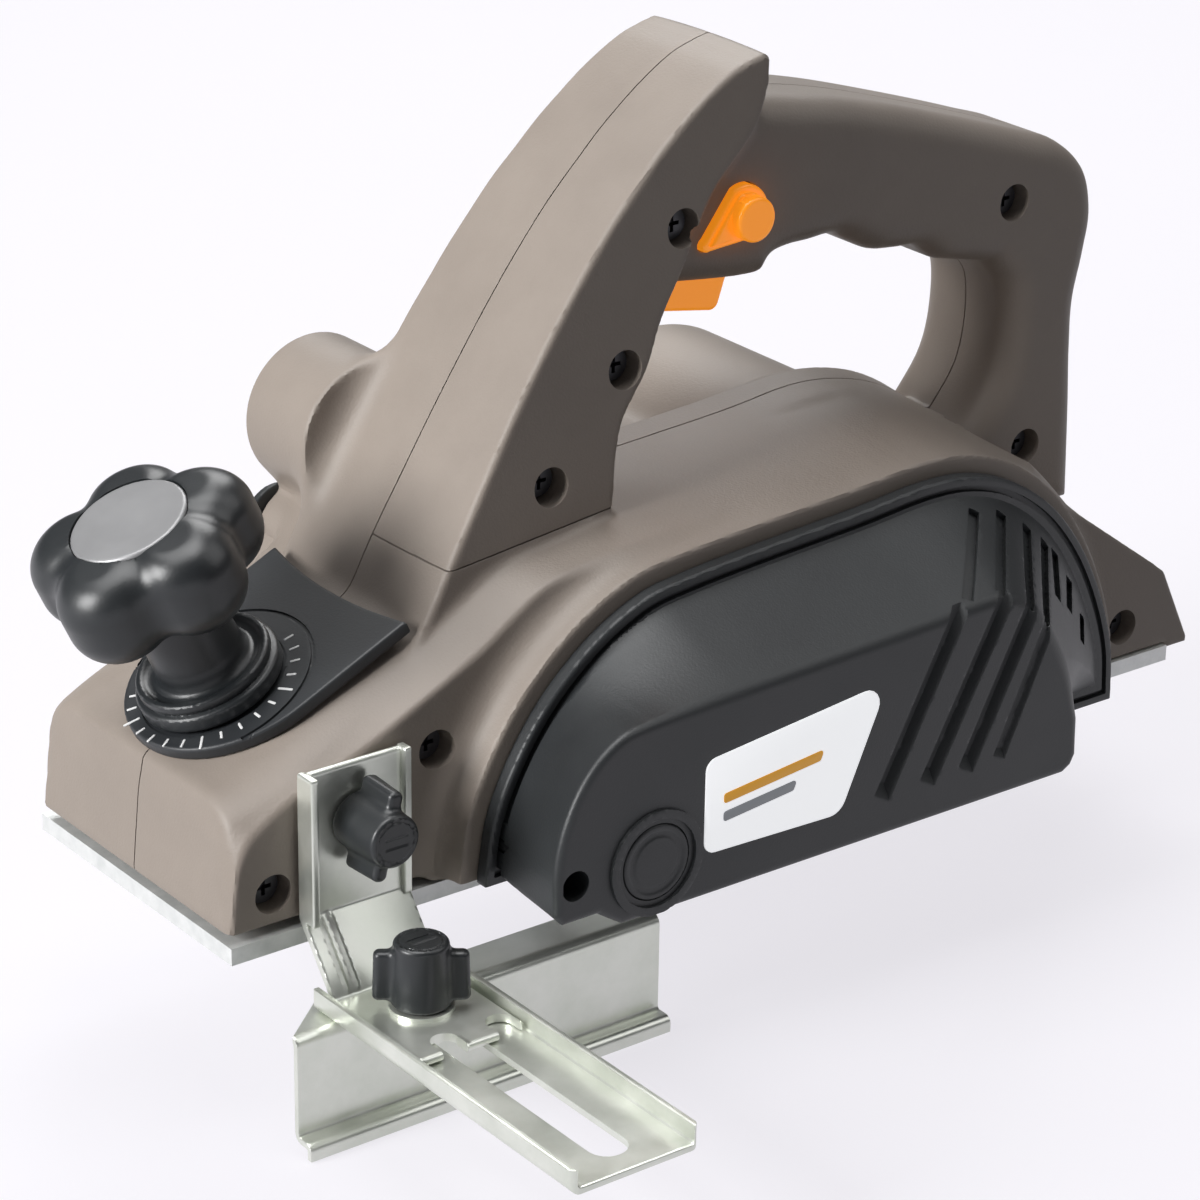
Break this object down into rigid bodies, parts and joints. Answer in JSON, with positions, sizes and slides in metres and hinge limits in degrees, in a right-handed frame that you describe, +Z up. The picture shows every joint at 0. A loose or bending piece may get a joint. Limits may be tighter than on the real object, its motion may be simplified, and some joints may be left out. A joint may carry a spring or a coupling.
{
  "type": "electric hand planer",
  "caption": "Hand-held electric wood planer with D-handle, round depth knob, belt-drive cover and a sliding parallel fence.",
  "frame": {"origin": "centre of the sole, on the face that rides on the wood", "axes": "+X the way the tool is pushed, +Y towards the belt cover and fence, +Z up"},
  "size_m": [0.3202, 0.211, 0.2226],
  "materials": {
    "housing": "fine spark texture",
    "cover": "satin",
    "badge": "printed label",
    "screw": "black oxide",
    "casting": "machined",
    "spring": "wire",
    "dial": "satin",
    "knob": "satin",
    "disc": "satin",
    "steel": "turned",
    "drum": "turned",
    "blade": "ground",
    "bearing": "ground",
    "belt": "ribbed",
    "lamination": "stacked sheet",
    "copper": "enamelled wire",
    "fan": "moulded",
    "brass": "drawn",
    "carbon": "pressed carbon",
    "orange": "moulded",
    "switch": "moulded",
    "capacitor": "potted",
    "gland": "moulded",
    "zinc": "zinc plated",
    "zinc_bolt": "zinc plated"
  },
  "bodies": {
    "housing": {"right_housing": "housing", "left_housing": "housing", "left_handle_shell": "housing", "belt_cover": "cover", "cover_cap": "cover", "side_cover": "cover", "cover_badge": "badge", "housing_screws": "screw", "cover_screw": "screw", "shoe_screws": "screw", "rear_shoe": "casting", "depth_dial": "dial", "drum_bearings": "bearing", "chip_chute": "casting", "drive_belt": "belt", "motor_bearings": "bearing", "stator_core": "lamination", "stator_windings": "copper", "brush_holders": "brass", "carbon_brushes": "carbon", "brush_springs": "spring", "trigger_pin": "steel", "switch_body": "switch", "suppressor_capacitor": "capacitor", "cord_gland": "gland", "fence_bracket": "zinc", "arm_bolt": "zinc_bolt", "arm_washer": "zinc_bolt", "fence_insert": "brass"},
    "front_shoe": {"front_shoe": "casting", "shoe_springs": "spring"},
    "depth_knob": {"depth_knob": "knob", "knob_disc": "disc", "depth_spindle": "steel"},
    "drum": {"cutter_drum": "drum", "planer_blades": "blade", "blade_clamps": "steel", "clamp_screws": "screw", "drum_shaft": "steel", "drum_pulley": "drum", "drum_pulley_nut": "steel"},
    "armature": {"motor_shaft": "steel", "armature_core": "lamination", "armature_windings": "copper", "commutator": "copper", "cooling_fan": "fan", "motor_pulley": "steel"},
    "trigger": {"trigger": "orange", "trigger_spring": "spring"},
    "lock_button": {"lock_button": "orange", "lock_spring": "spring"},
    "fence": {"fence_arm": "zinc", "fence_rail": "zinc"},
    "side_knob": {"side_knob": "knob", "side_knob_bolt": "zinc_bolt"},
    "arm_knob": {"arm_knob": "knob"}
  },
  "joints": [
    {"name": "depth_knob_turn", "type": "hinge", "parent": "housing", "child": "depth_knob", "pos_m": [0.1222, 0, 0.0481], "axis": [0.4226, 0, 0.9063], "range_deg": [0, 300]},
    {"name": "front_shoe_lift", "type": "slide", "parent": "housing", "child": "front_shoe", "axis": [0.4226, 0, 0.9063], "range_m": [0, 0.0022]},
    {"name": "drum_spin", "type": "hinge", "parent": "housing", "child": "drum", "pos_m": [0.056, 0, 0.024], "axis": [0, 1, 0], "continuous": true},
    {"name": "motor_spin", "type": "hinge", "parent": "housing", "child": "armature", "pos_m": [-0.049, 0, 0.0476], "axis": [0, 1, 0], "continuous": true},
    {"name": "trigger_squeeze", "type": "hinge", "parent": "housing", "child": "trigger", "pos_m": [0, 0, 0.1308], "axis": [0, 1, 0], "range_deg": [0, 12], "stiffness_Nm_per_rad": 1, "springref_deg": -8.59},
    {"name": "lock_button_press", "type": "slide", "parent": "housing", "child": "lock_button", "axis": [0, -1, 0], "range_m": [0, 0.003], "stiffness_N_per_m": 500, "springref_m": -0.002},
    {"name": "fence_slide", "type": "slide", "parent": "housing", "child": "fence", "axis": [0, 1, 0], "range_m": [-0.066, 0.003]},
    {"name": "side_knob_turn", "type": "hinge", "parent": "housing", "child": "side_knob", "pos_m": [0.113, 0.0448, 0.029], "axis": [0, 1, 0], "range_deg": [0, 360]},
    {"name": "arm_knob_turn", "type": "hinge", "parent": "housing", "child": "arm_knob", "pos_m": [0.113, 0.07, -0.0068], "axis": [0, 0, 1], "range_deg": [0, 360]}
  ],
  "couplings": [
    {"joint": "depth_knob_turn", "follows": "front_shoe_lift", "rad_per_m": 2379.9},
    {"joint": "motor_spin", "follows": "drum_spin", "ratio": 2}
  ]
}
